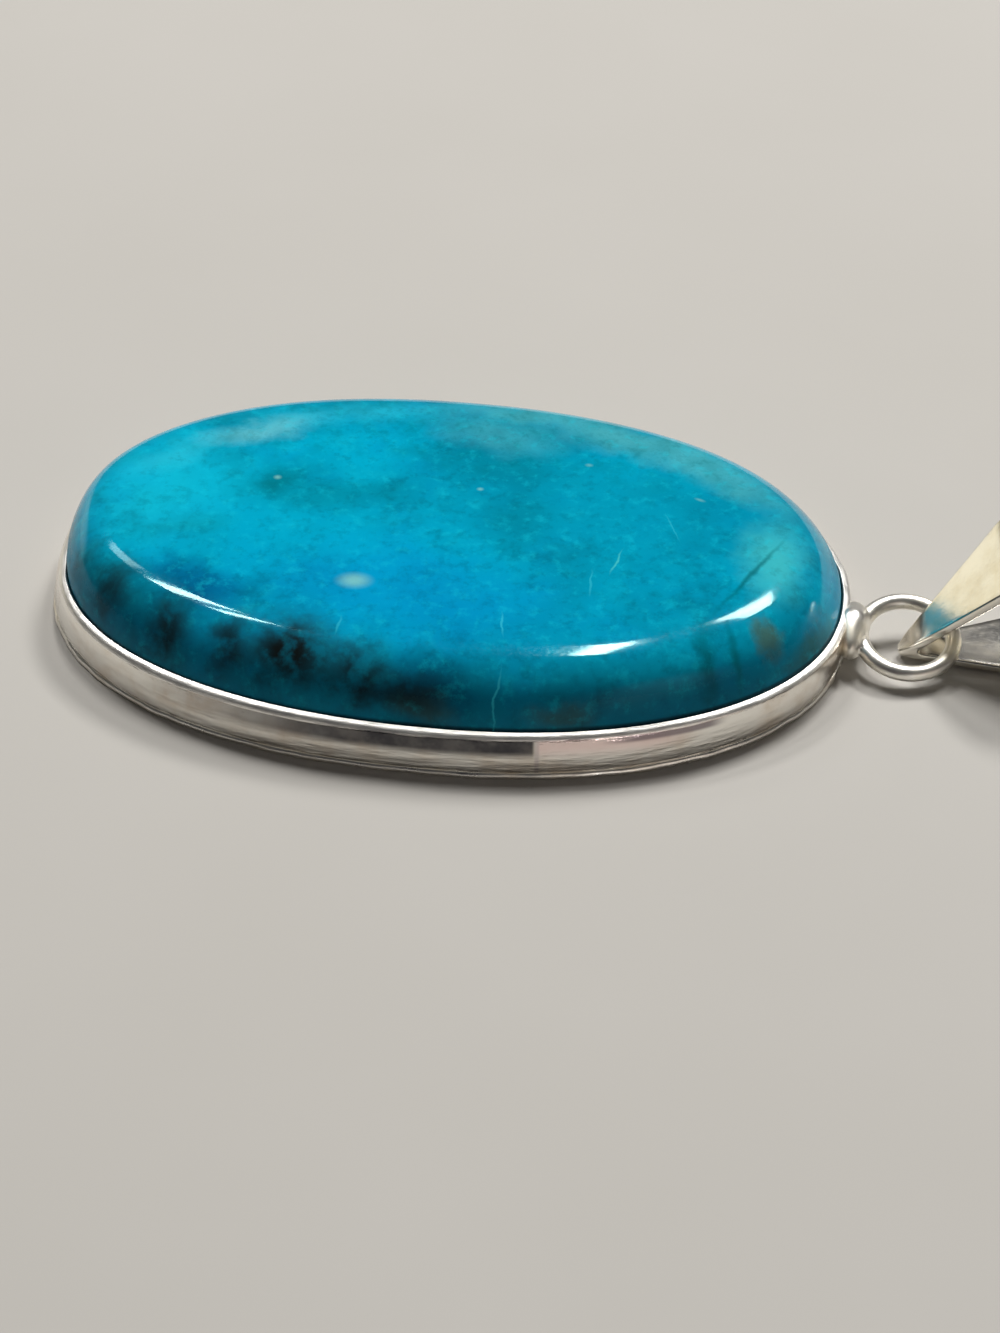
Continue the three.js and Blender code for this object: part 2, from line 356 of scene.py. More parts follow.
def make_wire():
    """The jump ring's wire alone, leaning as it lies."""
    turn = np.linspace(0, 2 * math.pi, RING_STEPS, endpoint=False)
    wire = np.linspace(0, 2 * math.pi, WIRE_STEPS, endpoint=False)
    turn, wire = np.meshgrid(turn, wire, indexing="ij")
    wire_radius = RING_WIRE_RADIUS * (WIRE_SHARE + waves(turn, WIRE_WANDER))
    reach = RING_RADIUS + wire_radius * np.cos(wire)
    points = np.stack([reach * np.cos(turn), reach * np.sin(turn), wire_radius * np.sin(wire)], 2)
    lean = Matrix.Rotation(RING_LEAN_Y, 3, "Y") @ Matrix.Rotation(RING_LEAN_X, 3, "X")
    points = points.reshape(-1, 3) @ np.array(lean).T + np.array(RING_CENTRE)
    faces = []
    for i in range(RING_STEPS):
        this = i * WIRE_STEPS
        following = (i + 1) % RING_STEPS * WIRE_STEPS
        for j in range(WIRE_STEPS):
            k = (j + 1) % WIRE_STEPS
            faces.append((this + j, following + j, following + k, this + k))
    return make_object("ring_wire", points, faces)


def make_ring():
    """The wire and the solder, run together by a fine remesh so that the joint has a fillet."""
    ring = make_wire()
    solder = make_solder()
    with bpy.context.temp_override(active_object=ring, selected_editable_objects=[ring, solder]):
        bpy.ops.object.join()
    remesh = ring.modifiers.new("remesh", "REMESH")
    remesh.mode = "VOXEL"
    remesh.voxel_size = FUSE_VOXEL * MM
    remesh.use_smooth_shade = True
    relax = ring.modifiers.new("relax", "SMOOTH")
    relax.factor = 0.5
    relax.iterations = FUSE_RELAX_STEPS
    apply_modifiers(ring)
    ring.data.polygons.foreach_set("use_smooth", [True] * len(ring.data.polygons))
    return ring


def bail_half_width(along):
    """Half the strip's width at a distance along the bail's middle line."""
    taper = BAIL_TIP_HALF_WIDTH + BAIL_TAPER * (along - BAIL_TAPER_START)
    # A soft minimum, so that the taper runs smoothly into the parallel part
    narrow = np.exp(-taper / BAIL_WIDTH_BLEND)
    wide = np.exp(-BAIL_HALF_WIDTH / BAIL_WIDTH_BLEND)
    width = -BAIL_WIDTH_BLEND * np.log(narrow + wide)
    tip = np.sqrt(np.clip((along - BAIL_TIP_START) / (BAIL_TIP_LENGTH - BAIL_TIP_START), 0, 1))
    return width * (BAIL_TIP_SHARE + (1 - BAIL_TIP_SHARE) * tip)


def bail_side_line(offset, corner_radius, corner_centre):
    """The bail's side outline at one offset from the middle of the sheet, as in the solid model."""
    centre = BAIL_LOOP_RADIUS / math.sin(BAIL_HALF_OPENING)
    swing = math.pi / 2 + BAIL_HALF_OPENING
    turn = np.linspace(-swing, swing, LOOP_STEPS)
    radius = BAIL_LOOP_RADIUS + offset
    loop = np.stack([centre + radius * np.cos(turn), radius * np.sin(turn)], 1)
    corner_swing = math.pi / 2 - BAIL_HALF_OPENING
    turn = np.linspace(math.pi - corner_swing, math.pi + corner_swing, CORNER_STEPS)
    corner = np.stack([corner_centre + corner_radius * np.cos(turn), corner_radius * np.sin(turn)], 1)
    share = np.linspace(0, 1, LEAF_STEPS)[1:-1, None]
    upper = loop[-1] * (1 - share) + corner[0] * share
    lower = corner[-1] * (1 - share) + loop[0] * share
    return np.concatenate([loop, upper, corner, lower])


def bail_strips():
    """Lines across the sheet from edge to edge: side, distance in from the edge, half-thickness there."""
    half = SHEET_THICKNESS / 2
    edge = []
    for turn in np.linspace(math.pi / 2, 0, SHEET_EDGE_STEPS):
        inset = SHEET_EDGE_ROUND * (1 - math.sin(turn))
        thick = half - SHEET_EDGE_ROUND * (1 - math.cos(turn))
        edge.append((inset, thick))
    left = [(-1, inset, thick) for inset, thick in edge]
    middle = [(side, SHEET_EDGE_ROUND, half) for side in np.linspace(-1, 1, SHEET_ACROSS_STEPS)[1:-1]]
    right = [(1, inset, thick) for inset, thick in edge[::-1]]
    return left + middle + right


def make_bail():
    """One closed strip: its outer and inner faces, with rounded long edges between them."""
    reach = JOINED_CORNER_RADIUS + SHEET_THICKNESS / 2
    strips = bail_strips()
    grids = []
    for face in (1, -1):
        for side, inset, thick in strips:
            if face > 0:
                line = bail_side_line(thick, thick, 0.0)
            else:
                line = bail_side_line(-thick, reach - thick, reach / math.sin(BAIL_HALF_OPENING))
            y = side * (bail_half_width(line[:, 0]) - inset)
            grids.append(np.stack([line[:, 0], y, line[:, 1]], 1))
    verts = np.concatenate(grids)
    count = len(grids[0])
    width = len(strips)
    pairs = [(row, row + 1) for row in range(width - 1)]
    pairs += [(row, row + 1) for row in range(width, 2 * width - 1)]
    pairs += [(0, width), (width - 1, 2 * width - 1)]
    faces = []
    for low, high in pairs:
        for i in range(count):
            j = (i + 1) % count
            faces.append((low * count + i, low * count + j, high * count + j, high * count + i))
    x, y = verts[:, 0], verts[:, 1]
    uneven = sum(size * np.sin(by_x * x + by_y * y + phase) for size, by_x, by_y, phase in BAIL_UNEVENNESS)
    verts[:, 2] += uneven * np.interp(x, BAIL_UNEVEN_FROM, (0, 1))
    turn = Matrix.Rotation(BAIL_TURN, 3, "Z") @ Matrix.Rotation(BAIL_DIP - BAIL_HALF_OPENING, 3, "Y")
    verts = verts @ np.array(turn).T + np.array(BAIL_TIP)
    return make_object("bail_strip", verts, faces)


# Materials

def connect(tree, source, socket):
    """Links an output to a socket, or sets a constant on it."""
    if hasattr(source, "is_output"):
        tree.links.new(source, socket)
    else:
        socket.default_value = source


class Nodes:
    """Short calls for building one material's nodes."""

    def __init__(self, name):
        self.material = bpy.data.materials.new(name)
        self.material.use_nodes = True
        self.tree = self.material.node_tree
        self.shader = self.tree.nodes["Principled BSDF"]
        coords = self.tree.nodes.new("ShaderNodeTexCoord")
        scale = self.tree.nodes.new("ShaderNodeVectorMath")
        scale.operation = "SCALE"
        self.tree.links.new(coords.outputs["Object"], scale.inputs[0])
        scale.inputs["Scale"].default_value = 1 / MM
        # Object coordinates in millimetres
        self.place = scale.outputs[0]

    def math(self, operation, a, b=0.0):
        node = self.tree.nodes.new("ShaderNodeMath")
        node.operation = operation
        connect(self.tree, a, node.inputs[0])
        connect(self.tree, b, node.inputs[1])
        return node.outputs[0]

    def product(self, first, *others):
        """All the values multiplied together."""
        for other in others:
            first = self.math("MULTIPLY", first, other)
        return first

    def vector(self, operation, a, b=(0, 0, 0)):
        node = self.tree.nodes.new("ShaderNodeVectorMath")
        node.operation = operation
        connect(self.tree, a, node.inputs[0])
        connect(self.tree, b, node.inputs[1])
        return node.outputs["Value" if operation == "LENGTH" else "Vector"]

    def axis(self, index):
        """One of the object coordinates: 0 for x, 1 for y, 2 for z."""
        node = self.tree.nodes.new("ShaderNodeSeparateXYZ")
        connect(self.tree, self.place, node.inputs[0])
        return node.outputs[index]

    def noise(self, scale, detail=2.0, roughness=0.5, place=None, colour=False):
        """Noise with a given number of cells per millimetre."""
        node = self.tree.nodes.new("ShaderNodeTexNoise")
        connect(self.tree, place or self.place, node.inputs["Vector"])
        node.inputs["Scale"].default_value = scale
        node.inputs["Detail"].default_value = detail
        node.inputs["Roughness"].default_value = roughness
        return node.outputs["Color" if colour else "Fac"]

    def ramp(self, value, low, high, from_value=0.0, to_value=1.0):
        """Smoothly from one value to another as the input goes from low to high."""
        node = self.tree.nodes.new("ShaderNodeMapRange")
        node.interpolation_type = "SMOOTHSTEP"
        connect(self.tree, value, node.inputs["Value"])
        node.inputs["From Min"].default_value = low
        node.inputs["From Max"].default_value = high
        node.inputs["To Min"].default_value = from_value
        node.inputs["To Max"].default_value = to_value
        return node.outputs["Result"]

    def mix(self, share, a, b):
        node = self.tree.nodes.new("ShaderNodeMix")
        node.data_type = "RGBA"
        connect(self.tree, share, node.inputs["Factor"])
        connect(self.tree, a, node.inputs["A"])
        connect(self.tree, b, node.inputs["B"])
        return node.outputs["Result"]

    def patch(self, place, centre, size, turn, soft):
        """A soft-edged ellipsoid: 1 inside, 0 outside."""
        node = self.tree.nodes.new("ShaderNodeMapping")
        node.vector_type = "TEXTURE"
        connect(self.tree, place, node.inputs["Vector"])
        node.inputs["Location"].default_value = centre
        node.inputs["Rotation"].default_value = (0, 0, math.radians(turn))
        node.inputs["Scale"].default_value = size
        return self.ramp(self.vector("LENGTH", node.outputs[0]), 1 - soft, 1 + soft, 1.0, 0.0)

    def clouded(self, colour, layers):
        """The colour with layers of noise over it."""
        for cells, span, strength, tint in layers:
            colour = self.mix(self.ramp(self.noise(*cells), *span, 0.0, strength), colour, tint)
        return colour

    def marked(self, colour, marks, place, *grain):
        """The colour with each of the marks laid over it, broken up by a grain where one is given."""
        for centre, size, turn, tint, strength, soft in marks:
            mask = self.patch(place, centre, size, turn, soft)
            colour = self.mix(self.product(mask, *grain, strength), colour, tint)
        return colour

    def bump(self, height, distance_mm, onto=None):
        node = self.tree.nodes.new("ShaderNodeBump")
        connect(self.tree, height, node.inputs["Height"])
        node.inputs["Distance"].default_value = distance_mm * MM
        node.inputs["Strength"].default_value = 1.0
        if onto is not None:
            self.tree.links.new(onto, node.inputs["Normal"])
        return node.outputs[0]

    def finish(self, **sockets):
        """Sets the shader's sockets, named in small letters, and returns the material."""
        for name, value in sockets.items():
            socket = name.replace("_", " ").title().replace("Ior", "IOR")
            connect(self.tree, value, self.shader.inputs[socket])
        return self.material


def srgb(red, green, blue):
    """A colour given as 0 to 255 display values, in Blender's linear values."""
    def linear(c):
        c /= 255
        return c / 12.92 if c <= 0.04045 else ((c + 0.055) / 1.055) ** 2.4
    return (linear(red), linear(green), linear(blue), 1.0)


# Colours of the stone, and of the painted shade and painted shadow on it
CYAN = srgb(0, 176, 212)
BRIGHT_CYAN = srgb(24, 214, 238)
BLUE = srgb(0, 150, 208)
TEAL = srgb(0, 148, 180)
DEEP_BLUE = srgb(0, 78, 136)
DARK_TEAL = srgb(0, 88, 106)
DARK_GREEN = srgb(0, 98, 104)
AQUA = srgb(60, 210, 232)
GREY_AQUA = srgb(112, 212, 226)
GREY_GREEN = srgb(80, 182, 192)
PALE = srgb(140, 212, 205)
PALE_GREEN = srgb(76, 205, 208)
OLIVE = srgb(88, 110, 70)
BROWN_BLACK = srgb(22, 26, 26)
NAVY_TEAL = srgb(0, 46, 82)
LIP_GREEN = srgb(70, 112, 88)
SEAT_SHADOW = srgb(8, 22, 28)

# The stone's ground and mottling: noise as (cells per mm, detail, roughness), the noise values where
# the colour starts and is strongest, its strength and the colour
GROUND_LAYERS = [
    ((0.14, 2.0, 0.5), (0.35, 0.65), 1.0, TEAL),
    ((0.35, 4.0, 0.6), (0.4, 0.75), 0.35, BLUE),
    ((0.45, 5.0, 0.6), (0.54, 0.3), 0.4, DARK_TEAL),
    ((0.6, 6.0, 0.65), (0.5, 0.8), 0.3, BRIGHT_CYAN),
]
FINE_LAYERS = [
    ((1.8, 5.0, 0.7), (0.52, 0.34), 0.19, DARK_TEAL),
    ((1.3, 5.0, 0.7), (0.5, 0.72), 0.26, BRIGHT_CYAN),
]
# Markings: where each one is, its half sizes, turn in degrees, colour, strength and edge softness
MARKINGS = [
    # Broad changes of colour over the top
    ((6.5, 2.0, 5.5), (7.5, 4.5, 4.0), 8, TEAL, 0.6, 0.8),
    ((11.5, -1.0, 5.5), (4.5, 4.0, 4.0), 0, TEAL, 0.5, 0.8),
    ((-1.5, -6.0, 5.5), (6.5, 3.0, 3.0), -8, BLUE, 0.7, 0.8),
    ((-8.5, -1.5, 5.5), (5.0, 3.0, 3.0), 10, CYAN, 0.6, 0.8),
    ((-10.9, -6.6, 5.2), (2.4, 1.1, 2.0), -25, DEEP_BLUE, 0.7, 0.7),
    ((-8.2, 1.6, 5.6), (2.0, 1.4, 1.5), 20, DARK_GREEN, 0.55, 1.0),
    ((-8.5, 1.4, 5.6), (0.7, 0.9, 1.5), 0, DARK_GREEN, 0.45, 0.9),
    ((3.4, 0.4, 5.6), (1.4, 1.6, 1.5), 0, DARK_GREEN, 0.3, 1.0),
    ((-5.0, 0.8, 5.6), (2.6, 1.0, 1.5), 20, DARK_GREEN, 0.4, 0.9),
    ((1.5, 4.5, 5.6), (2.5, 1.2, 1.5), 0, DARK_GREEN, 0.3, 0.9),
    ((-12.5, -2.5, 5.6), (2.0, 0.7, 1.5), 20, DARK_GREEN, 0.35, 0.9),
    ((15.6, -0.8, 5.4), (1.3, 2.4, 1.5), 0, PALE_GREEN, 0.65, 0.8),
    ((-14.0, 0.5, 5.5), (3.0, 3.5, 1.5), 0, BRIGHT_CYAN, 0.4, 0.9),
    # Pale clouds along the far edge: partly the stone's own pale pattern, partly a painted reflection of the
    # far room
    ((-10.2, 5.8, 5.5), (2.2, 0.8, 1.5), 28, GREY_AQUA, 0.7, 0.8),
    ((-13.6, 3.4, 5.5), (2.2, 0.8, 1.5), 42, AQUA, 0.3, 0.9),
    ((-5.5, 8.0, 5.5), (4.5, 0.8, 1.5), 14, AQUA, 0.3, 0.9),
    ((1.4, 7.0, 5.5), (2.6, 1.3, 1.5), -10, GREY_GREEN, 0.45, 0.8),
    ((3.0, 9.4, 5.4), (4.0, 0.8, 1.5), 2, GREY_GREEN, 0.6, 0.8),
    ((8.0, 7.6, 5.4), (4.5, 1.1, 1.5), -16, GREY_GREEN, 0.75, 0.8),
    ((12.8, 5.2, 5.4), (3.2, 0.9, 1.5), -35, GREY_GREEN, 0.6, 0.8),
    # Dark and olive places low on the near side
    ((-13.8, -6.9, 4.3), (3.0, 1.5, 1.3), -32, DARK_TEAL, 0.6, 0.8),
    ((15.7, -5.6, 4.2), (0.55, 0.8, 1.2), 50, OLIVE, 0.7, 0.6),
    ((17.7, -4.2, 2.9), (1.7, 1.3, 0.5), 55, LIP_GREEN, 0.55, 0.7),
    ((13.0, -7.6, 4.1), (0.5, 1.6, 1.3), 16, DARK_GREEN, 0.7, 0.7),
    ((0.8, -10.9, 4.2), (2.2, 1.2, 1.0), 0, NAVY_TEAL, 0.7, 0.9),
    ((0.6, -11.7, 3.1), (1.4, 0.8, 0.7), 0, OLIVE, 0.6, 0.7),
    ((6.9, -11.2, 3.0), (1.4, 0.8, 0.6), 0, OLIVE, 0.6, 0.7),
]
# Nearly black clouds on the near bevel, which a grain breaks up
INCLUSIONS = [
    ((-5.4, -10.2, 4.5), (2.0, 1.8, 1.5), -8, BROWN_BLACK, 1.0, 0.8),
    ((-2.5, -10.8, 4.1), (1.1, 1.4, 1.5), 0, BROWN_BLACK, 0.95, 0.8),
    ((-0.2, -11.3, 3.6), (2.0, 1.0, 0.8), 0, BROWN_BLACK, 0.75, 0.8),
    ((-8.5, -9.7, 4.2), (0.9, 1.3, 1.5), -20, BROWN_BLACK, 0.85, 0.8),
    ((-11.6, -8.8, 3.9), (1.1, 1.2, 1.4), -30, BROWN_BLACK, 0.9, 0.8),
    ((-14.8, -6.4, 4.3), (0.9, 1.0, 1.2), -40, BROWN_BLACK, 0.75, 0.8),
    ((-16.6, -4.4, 4.0), (0.7, 1.0, 1.0), -50, BROWN_BLACK, 0.5, 0.8),
]
# Thin veins and cracks, long along their own Y before the turn
VEINS = [
    ((8.3, -2.3, 5.5), (0.05, 0.75, 1.0), -12, PALE_GREEN, 0.7, 0.6),
    ((7.4, -4.0, 5.5), (0.05, 0.8, 1.0), 8, AQUA, 0.35, 0.6),
    ((3.7, -7.6, 5.5), (0.06, 0.7, 1.0), 8, AQUA, 0.45, 0.6),
    ((-3.6, -8.7, 5.5), (0.06, 0.5, 1.0), 0, AQUA, 0.35, 0.6),
    ((4.0, -11.0, 3.6), (0.05, 1.2, 1.3), 0, AQUA, 0.5, 0.6),
    ((10.6, 0.8, 5.5), (0.04, 0.9, 1.0), 25, AQUA, 0.3, 0.6),
    ((14.6, -2.2, 5.4), (0.11, 2.4, 1.2), -24, DARK_GREEN, 0.7, 0.9),
    ((14.4, -6.9, 4.1), (0.16, 1.4, 1.3), 24, DARK_GREEN, 0.6, 0.9),
]
# Small pale spots
DOTS = [
    ((-3.5, -5.5, 5.6), (0.6, 0.42, 1.0), 5, PALE, 0.7, 0.8),
    ((-8.6, 1.9, 5.6), (0.14, 0.13, 1.0), 0, PALE, 0.6, 0.9),
    ((1.2, 2.4, 5.6), (0.12, 0.10, 1.0), 0, PALE, 0.6, 0.9),
    ((6.1, 5.2, 5.6), (0.14, 0.10, 1.0), 0, PALE, 0.4, 0.9),
    ((11.7, 3.2, 5.6), (0.20, 0.08, 1.0), -20, PALE, 0.4, 0.9),
]
# Noise, and how far in mm it stirs the edges of the markings and of the veins
STIR_NOISE = (0.5, 4.0, 0.6)
NOISE_MIDDLE = (0.5, 0.5, 0.5)
MARKING_STIR = (2.2, 2.2, 2.2)
VEIN_STIR = (0.7, 0.7, 0.7)
# Green flecks in the pale far clouds, and the grain that breaks up the inclusions
FLECK_NOISE, FLECK_SPAN, FLECK_STRENGTH = (0.9, 6.0, 0.7), (0.42, 0.68), 0.42
GRAIN_NOISE, GRAIN_SPAN, GRAIN_LEAST = (1.0, 4.0, 0.55), (0.35, 0.6), 0.55
# Polish: roughness where it is scratched least and most, what is added where it is poor, and the shine
SCRATCH_NOISE, SCRATCH_SPAN = (6.0, 3.0, 0.7), (0.3, 0.7)
LEAST_ROUGH, MOST_ROUGH, POOR_ROUGH = 0.05, 0.11, 0.3
SHINE, DULL_SHINE = 0.38, 0.12
SHINE_TINT = (0.5, 1.0, 1.0, 1.0)
STONE_IOR = 1.5
# Strength of the painted shade low on the near side, and of the painted shadow line where the stone goes down
# into the lip
NEAR_PAINTED_SHADE = 0.5
SEAT_DARKENING = 0.8

# Where the stone changes over its height or breadth, as (where the change starts, where it is complete)
FLECKED_Y = (0.5, 6.5)
NEAR_SIDE_Y = (-1.0, -8.0)
PAINTED_SHADE_Z = (4.7, 3.7)
SEAT_Z = (2.62, 2.42)
POOR_POLISH_Z = (4.5, 3.2)
DULL_SHINE_Z = (4.5, 3.3)


def stone_material():
    n = Nodes("chrysocolla")
    # The markings' edges wander, because their coordinates are stirred with noise
    stir = n.vector("SUBTRACT", n.noise(*STIR_NOISE, colour=True), NOISE_MIDDLE)
    stirred = n.vector("ADD", n.place, n.vector("MULTIPLY", stir, MARKING_STIR))
    little_stirred = n.vector("ADD", n.place, n.vector("MULTIPLY", stir, VEIN_STIR))
    across, height = n.axis(1), n.axis(2)
    colour = n.clouded(CYAN, GROUND_LAYERS)
    colour = n.marked(colour, MARKINGS, stirred)
    flecks = n.product(n.ramp(n.noise(*FLECK_NOISE), *FLECK_SPAN), n.ramp(across, *FLECKED_Y), FLECK_STRENGTH)
    colour = n.mix(flecks, colour, DARK_GREEN)
    # Painted shade: the near side of the bevel is darkened towards the setting
    low = n.product(n.ramp(height, *PAINTED_SHADE_Z), n.ramp(across, *NEAR_SIDE_Y), NEAR_PAINTED_SHADE)
    colour = n.mix(low, colour, NAVY_TEAL)
    colour = n.clouded(colour, FINE_LAYERS)
    grain = n.ramp(n.noise(*GRAIN_NOISE), *GRAIN_SPAN, GRAIN_LEAST, 1.0)
    colour = n.marked(colour, INCLUSIONS, stirred, grain)
    # Painted shadow: a dark line low on the stone, where it goes down into the lip
    colour = n.mix(n.ramp(height, *SEAT_Z, 0.0, SEAT_DARKENING), colour, SEAT_SHADOW)
    colour = n.marked(colour, VEINS, little_stirred)
    colour = n.marked(colour, DOTS, n.place)
    # The polish is poorer down by the setting, and shines less there
    scratches = n.ramp(n.noise(*SCRATCH_NOISE), *SCRATCH_SPAN, LEAST_ROUGH, MOST_ROUGH)
    rough = n.math("ADD", scratches, n.ramp(height, *POOR_POLISH_Z, 0.0, POOR_ROUGH))
    shine = n.ramp(height, *DULL_SHINE_Z, SHINE, DULL_SHINE)
    return n.finish(base_color=colour, roughness=rough, ior=STONE_IOR,
                    specular_ior_level=shine, specular_tint=SHINE_TINT)


# Colours of the silver, and of the painted reflections and painted highlight on the bezel
BRIGHT_SILVER = srgb(246, 243, 236)
WARM_SILVER = srgb(226, 212, 196)
PAINTED_ROSY_REFLECTION = srgb(240, 212, 208)
RUBBED_LIP_AND_HIGHLIGHT = srgb(255, 253, 248)
PAINTED_DARK_REFLECTION = srgb(70, 69, 72)
NEAR_WALL_DARK_LINE = srgb(120, 108, 116)
SEAM_GREY = srgb(196, 186, 186)

# Noise of the silver, as (cells per mm, detail, roughness), and the noise values between which it tells
CLOUD_NOISE, CLOUD_TINT_SPAN, CLOUD_POLISH_SPAN = (0.5, 4.0, 0.6), (0.4, 0.75), (0.3, 0.7)
STREAK_NOISE, STREAK_SPAN, STREAK_ROUGH = (5.0, 4.0, 0.7), (0.5, 0.8), 0.06
DENT_NOISE = (1.2, 3.0, 0.5)
# Depth of the fine streaks, in mm
STREAK_DEPTH = 0.002


def silver_base(n, tint, smoothest, roughest):
    """Cloudy colour and polish that the silver parts share, and the noise of their fine streaks."""
    cloudy = n.noise(*CLOUD_NOISE)
    streaks = n.noise(*STREAK_NOISE)
    colour = n.mix(n.ramp(cloudy, *CLOUD_TINT_SPAN), BRIGHT_SILVER, tint)
    polish = n.ramp(cloudy, *CLOUD_POLISH_SPAN, smoothest, roughest)
    rough = n.math("ADD", polish, n.ramp(streaks, *STREAK_SPAN, 0.0, STREAK_ROUGH))
    return colour, rough, streaks


def silver_material(name, smoothest, roughest, tint, dent_depth):
    """Plain silver, between two roughnesses, with soft dents of the given depth in mm."""
    n = Nodes(name)
    colour, rough, streaks = silver_base(n, tint, smoothest, roughest)
    dents = n.bump(n.noise(*DENT_NOISE), dent_depth)
    streaked = n.bump(streaks, STREAK_DEPTH, onto=dents)
    return n.finish(base_color=colour, metallic=1.0, roughness=rough, normal=streaked)


# Where the bezel's strip is joined on the near side, and how wide the joint's mark is
SEAM_X = 6.0
SEAM_REACH = (0.16, 0.04)
# Places on the near wall, as (where the change starts, where it is complete)
NEAR_WALL_Y = (-8.5, -10.5)
BELOW_LIP_Z = (2.22, 2.14)
PAINTED_DARK_REFLECTION_Z = (1.05, 1.65)
PAINTED_DARK_REFLECTION_FAR_X = (-17.0, -2.0)
PAINTED_DARK_REFLECTION_SEAM_X = (SEAM_X, SEAM_X - 0.25)
ROSY_Z = (1.0, 1.9)
ROSY_SEAM_X = (SEAM_X - 0.1, SEAM_X + 0.1)
ROSY_FAR_X = (14.0, 11.0)
LINE_Z = (1.75, 1.95)
LINE_NEAR_X = (8.5, 10.5)
LINE_FAR_X = (14.5, 13.5)
LIP_Z = (2.14, 2.22)
# Strengths of the painted rosy reflection, the dark line and the seam's mark
ROSY_STRENGTH, LINE_STRENGTH, SEAM_STRENGTH = 0.75, 0.8, 0.6
# The painted dark reflection is broken up in places by noise
REFLECTION_BREAKUP_NOISE, REFLECTION_BREAKUP_SPAN, REFLECTION_BREAKUP_LEAST = (0.8, 3.0, 0.6), (0.3, 0.7), 0.9
# The wall's polish, and the roughness that the worn lip adds
WALL_SMOOTHEST, WALL_ROUGHEST, LIP_ROUGH = 0.1, 0.2, 0.28
# Burnishing marks run round the wall, so their noise is squeezed in height. Depths are in mm
BURNISHING_CELLS, BURNISHING_NOISE, BURNISHING_DEPTH = (0.45, 0.45, 3.2), (1.0, 4.0, 0.6), 0.045
WALL_STREAK_DEPTH = 0.007


def bezel_material():
    """Polished silver with a worn, dull lip whose whiter colour is partly a painted highlight. A painted dark
    reflection lies on one length of the near wall, up to the seam.
    """
    n = Nodes("bezel_silver")
    along, across, height = n.axis(0), n.axis(1), n.axis(2)
    colour, polish, streaks = silver_base(n, WARM_SILVER, WALL_SMOOTHEST, WALL_ROUGHEST)
    near = n.ramp(across, *NEAR_WALL_Y)
    below_lip = n.ramp(height, *BELOW_LIP_Z)
    reflection_breakup = n.ramp(n.noise(*REFLECTION_BREAKUP_NOISE), *REFLECTION_BREAKUP_SPAN, REFLECTION_BREAKUP_LEAST, 1.0)
    # Painted dark reflection: a band on the near wall from the seam towards the far end
    band = n.product(n.ramp(height, *PAINTED_DARK_REFLECTION_Z), below_lip)
    length = n.product(n.ramp(along, *PAINTED_DARK_REFLECTION_SEAM_X), n.ramp(along, *PAINTED_DARK_REFLECTION_FAR_X))
    colour = n.mix(n.product(band, length, near, reflection_breakup), colour, PAINTED_DARK_REFLECTION)
    # Beyond the seam the band is a painted rosy reflection, with a narrower dark line below the lip
    length = n.product(n.ramp(along, *ROSY_SEAM_X), n.ramp(along, *ROSY_FAR_X))
    painted_rosy = n.product(length, near, n.ramp(height, *ROSY_Z), ROSY_STRENGTH)
    colour = n.mix(painted_rosy, colour, PAINTED_ROSY_REFLECTION)
    # A darker line below the lip beyond the seam
    length = n.product(n.ramp(along, *LINE_NEAR_X), n.ramp(along, *LINE_FAR_X))
    line = n.product(n.ramp(height, *LINE_Z), below_lip, length, LINE_STRENGTH)
    colour = n.mix(line, colour, NEAR_WALL_DARK_LINE)
    from_seam = n.math("ABSOLUTE", n.math("SUBTRACT", along, SEAM_X))
    colour = n.mix(n.product(n.ramp(from_seam, *SEAM_REACH), near, SEAM_STRENGTH), colour, SEAM_GREY)
    lip = n.ramp(height, *LIP_Z)
    rough = n.math("ADD", polish, n.product(lip, LIP_ROUGH))
    # The lip's whiter colour: partly rubbed silver, partly a painted highlight
    colour = n.mix(lip, colour, RUBBED_LIP_AND_HIGHLIGHT)
    squeezed = n.vector("MULTIPLY", n.place, BURNISHING_CELLS)
    burnished = n.bump(n.noise(*BURNISHING_NOISE, place=squeezed), BURNISHING_DEPTH)
    streaked = n.bump(streaks, WALL_STREAK_DEPTH, onto=burnished)
    return n.finish(base_color=colour, metallic=1.0, roughness=rough, normal=streaked)


# The floor's noise, as (cells per mm, detail), and its two colours
FLOOR_NOISE = (0.05, 3.0)
FLOOR_COLOURS = (srgb(190, 187, 181), srgb(196, 193, 188))
FLOOR_ROUGHNESS = 0.7


def floor_material():
    n = Nodes("floor")
    colour = n.mix(n.noise(*FLOOR_NOISE), *FLOOR_COLOURS)
    return n.finish(base_color=colour, roughness=FLOOR_ROUGHNESS)


def dress(obj, material, body, node):
    """Gives a piece its material and its place in the frame: body and replaced node."""
    obj.data.materials.clear()
    obj.data.materials.append(material)
    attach(obj, body)
    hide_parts(node)


# Light and room

# Windows, each with its name, bearing clockwise from +Y, elevation and roll in degrees,
# its width and height in metres, and its strength in watts
LIGHTS = [
    ("window_middle", 4, 66.5, 11, 0.03, 0.2, 1.3),
    ("window_right", 25, 51.5, -14, 0.17, 0.085, 1.7),
    ("window_left_low", -43, 55, 0, 0.13, 0.045, 0.72),
    ("window_left_high", -45, 62, 0, 0.08, 0.025, 0.3),
    ("window_far_left", -44, 45, 0, 0.10, 0.08, 0.16),
    ("lamp_near_right", 153, 5, 0, 0.10, 0.03, 0.1),
]
LIGHT_DISTANCE_M = 0.6
LIGHT_COLOUR = (1.0, 0.985, 0.96)

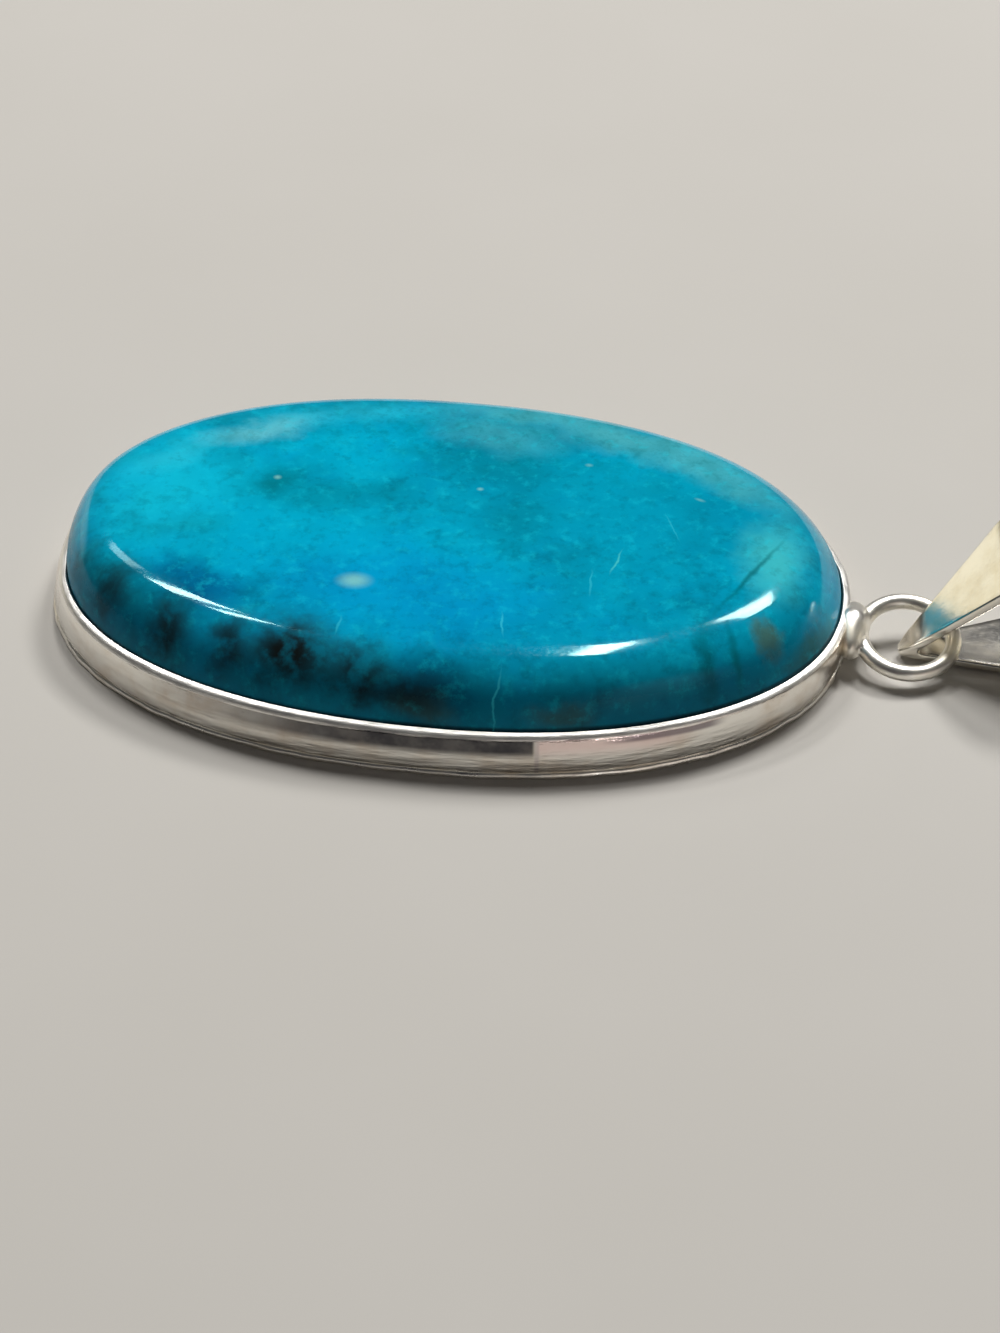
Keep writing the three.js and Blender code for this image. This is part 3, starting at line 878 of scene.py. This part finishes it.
# The room's brightness, and places in it that differ: bearing, elevation, radius and softness in degrees,
# and their colour
ROOM = (0.05, 0.05, 0.05)
ROOM_PLACES = [
    (-8, 40, 30, 12, (0.02, 0.02, 0.022)),
    (138, 8, 20, 9, (0.62, 0.54, 0.48)),
    (-54, 0, 14, 5, (0.98, 0.92, 0.72)),
    (192, 14, 24, 5, (0.012, 0.011, 0.016)),
]


def direction(bearing, elevation):
    """The direction of a place in the room, seen from the origin."""
    bearing, elevation = math.radians(bearing), math.radians(elevation)
    level = math.cos(elevation)
    return Vector((math.sin(bearing) * level, math.cos(bearing) * level, math.sin(elevation)))


def make_lights():
    for name, bearing, elevation, roll, width, height, watts in LIGHTS:
        data = bpy.data.lights.new(name, "AREA")
        data.shape = "RECTANGLE"
        data.size = width
        data.size_y = height
        data.energy = watts
        data.color = LIGHT_COLOUR
        light = bpy.data.objects.new(name, data)
        away = direction(bearing, elevation)
        light.location = away * LIGHT_DISTANCE_M
        rolled = Matrix.Rotation(math.radians(roll), 3, "Z")
        light.rotation_euler = (away.to_track_quat("Z", "Y").to_matrix() @ rolled).to_euler()
        bpy.context.scene.collection.objects.link(light)


def make_world():
    world = bpy.data.worlds.new("studio")
    world.use_nodes = True
    tree = world.node_tree
    coords = tree.nodes.new("ShaderNodeTexCoord")
    colour = (*ROOM, 1.0)
    for bearing, elevation, radius, soft, tint in ROOM_PLACES:
        dot = tree.nodes.new("ShaderNodeVectorMath")
        dot.operation = "DOT_PRODUCT"
        tree.links.new(coords.outputs["Generated"], dot.inputs[0])
        dot.inputs[1].default_value = direction(bearing, elevation)
        edge = tree.nodes.new("ShaderNodeMapRange")
        edge.interpolation_type = "SMOOTHSTEP"
        tree.links.new(dot.outputs["Value"], edge.inputs["Value"])
        edge.inputs["From Min"].default_value = math.cos(math.radians(radius + soft))
        edge.inputs["From Max"].default_value = math.cos(math.radians(radius - soft))
        mix = tree.nodes.new("ShaderNodeMix")
        mix.data_type = "RGBA"
        tree.links.new(edge.outputs["Result"], mix.inputs["Factor"])
        connect(tree, colour, mix.inputs["A"])
        mix.inputs["B"].default_value = (*tint, 1.0)
        colour = mix.outputs["Result"]
    tree.links.new(colour, tree.nodes["Background"].inputs["Color"])
    bpy.context.scene.world = world


def make_floor():
    size = FLOOR_HALF_SIZE
    corners = [(-size, -size, 0), (size, -size, 0), (size, size, 0), (-size, size, 0)]
    floor = make_object("floor", corners, [(0, 1, 2, 3)], smooth=False)
    floor.data.materials.append(floor_material())


def main():
    bpy.context.scene.view_settings.view_transform = "Standard"
    make_camera()
    make_lights()
    make_world()
    make_floor()
    sheet = silver_material("silver_sheet", 0.14, 0.2, srgb(240, 232, 214), 0.006)
    wire = silver_material("silver_wire", 0.32, 0.44, srgb(240, 234, 216), 0.015)
    satin = silver_material("silver_back", 0.25, 0.4, srgb(240, 232, 218), 0.04)
    dress(make_stone(), stone_material(), "setting", "cabochon")
    dress(make_bezel(), bezel_material(), "setting", "bezel")
    dress(make_back_plate(), satin, "setting", "back_plate")
    dress(make_ring(), wire, "setting", "jump_ring")
    dress(make_bail(), sheet, "bail", "bail")


main()
